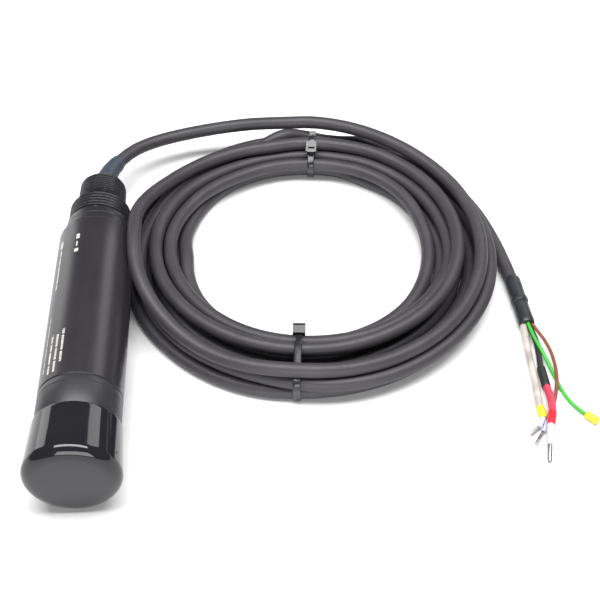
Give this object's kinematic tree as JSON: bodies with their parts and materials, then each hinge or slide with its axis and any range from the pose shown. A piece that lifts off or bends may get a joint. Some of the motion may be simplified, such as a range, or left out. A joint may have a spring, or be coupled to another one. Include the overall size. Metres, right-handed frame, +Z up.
{
  "type": "ultrasonic level probe",
  "caption": "Round immersion probe with a satin tube body, pull-off flared cap, two rear threads and a tied coil of cable ending in ferruled wires.",
  "frame": {"origin": "bottom centre of the probe's own box (cap, head, tube and threaded fitting) on the surface that it lies on; the cable, its boot and ties are left out", "axes": "+Y along the probe from the cap to the cable end, +Z up, +X towards the coil"},
  "size_m": [0.2698, 0.2631, 0.0448],
  "materials": {
    "cap_plastic": "gloss",
    "shell_plastic": "satin",
    "fitting_plastic": "matte",
    "acoustic_epoxy": "matte",
    "piezo_ceramic": "matte",
    "soft_rubber": "matte",
    "backing_epoxy": "matte",
    "tinned_metal": "satin",
    "board_plastic": "matte",
    "board_laminate": "satin",
    "chip_black": "matte",
    "ferrite": "matte",
    "terminal_green": "satin",
    "capacitor_sleeve": "satin",
    "cable_jacket": "satin",
    "boot_rubber": "satin",
    "tie_nylon": "satin",
    "shrink_black": "satin",
    "shrink_red": "satin",
    "core_white_plastic": "satin",
    "core_green_plastic": "satin",
    "core_black_plastic": "satin",
    "core_red_plastic": "satin",
    "core_brown_plastic": "satin",
    "marker_yellow": "satin"
  },
  "bodies": {
    "probe": {"head_collar": "shell_plastic", "body_tube": "shell_plastic", "rear_fitting": "fitting_plastic", "transducer_housing": "shell_plastic", "matching_layer": "acoustic_epoxy", "piezo_disc": "piezo_ceramic", "decoupling_ring": "soft_rubber", "backing_block": "backing_epoxy", "temperature_sensor": "tinned_metal", "head_bulkhead": "board_plastic", "front_o_ring": "soft_rubber", "rear_o_ring": "soft_rubber", "joint_gasket": "soft_rubber", "sensor_lead_signal": "core_red_plastic", "sensor_lead_return": "core_black_plastic", "shield_tube": "tinned_metal", "spacer_ring": "board_plastic", "circuit_board": "board_laminate", "board_rail_left": "board_plastic", "board_rail_right": "board_plastic", "processor_chip": "chip_black", "analog_chip": "chip_black", "pulse_transformer": "ferrite", "sensor_connector": "board_plastic", "terminal_block": "terminal_green", "crystal": "tinned_metal", "capacitor_left": "capacitor_sleeve", "capacitor_right": "capacitor_sleeve", "gland_grommet": "soft_rubber", "gland_washer": "tinned_metal", "gland_nut": "board_plastic", "resin_plug": "backing_epoxy", "cable_inner": "cable_jacket", "inner_core_left": "core_red_plastic", "inner_core_right": "core_black_plastic", "cable_boot": "boot_rubber", "cable_lead": "cable_jacket", "cable_coil": "cable_jacket", "cable_tail": "cable_jacket", "tie_front_band": "tie_nylon", "tie_front_head": "tie_nylon", "tie_rear_band": "tie_nylon", "tie_rear_head": "tie_nylon", "end_sleeve": "shrink_black", "core_white": "core_white_plastic", "core_green": "core_green_plastic", "core_black": "core_black_plastic", "core_red": "core_red_plastic", "core_brown": "core_brown_plastic", "black_shrink": "shrink_black", "red_shrink": "shrink_red", "marker_white": "marker_yellow", "marker_green": "marker_yellow", "ferrule_white": "tinned_metal", "ferrule_brown": "tinned_metal", "ferrule_red": "tinned_metal"},
    "cap": {"protective_cap": "cap_plastic"}
  },
  "joints": [
    {"name": "cap_pull", "type": "slide", "parent": "probe", "child": "cap", "axis": [0, -0.9999, 0.0158], "range_m": [0, 0.06]}
  ]
}
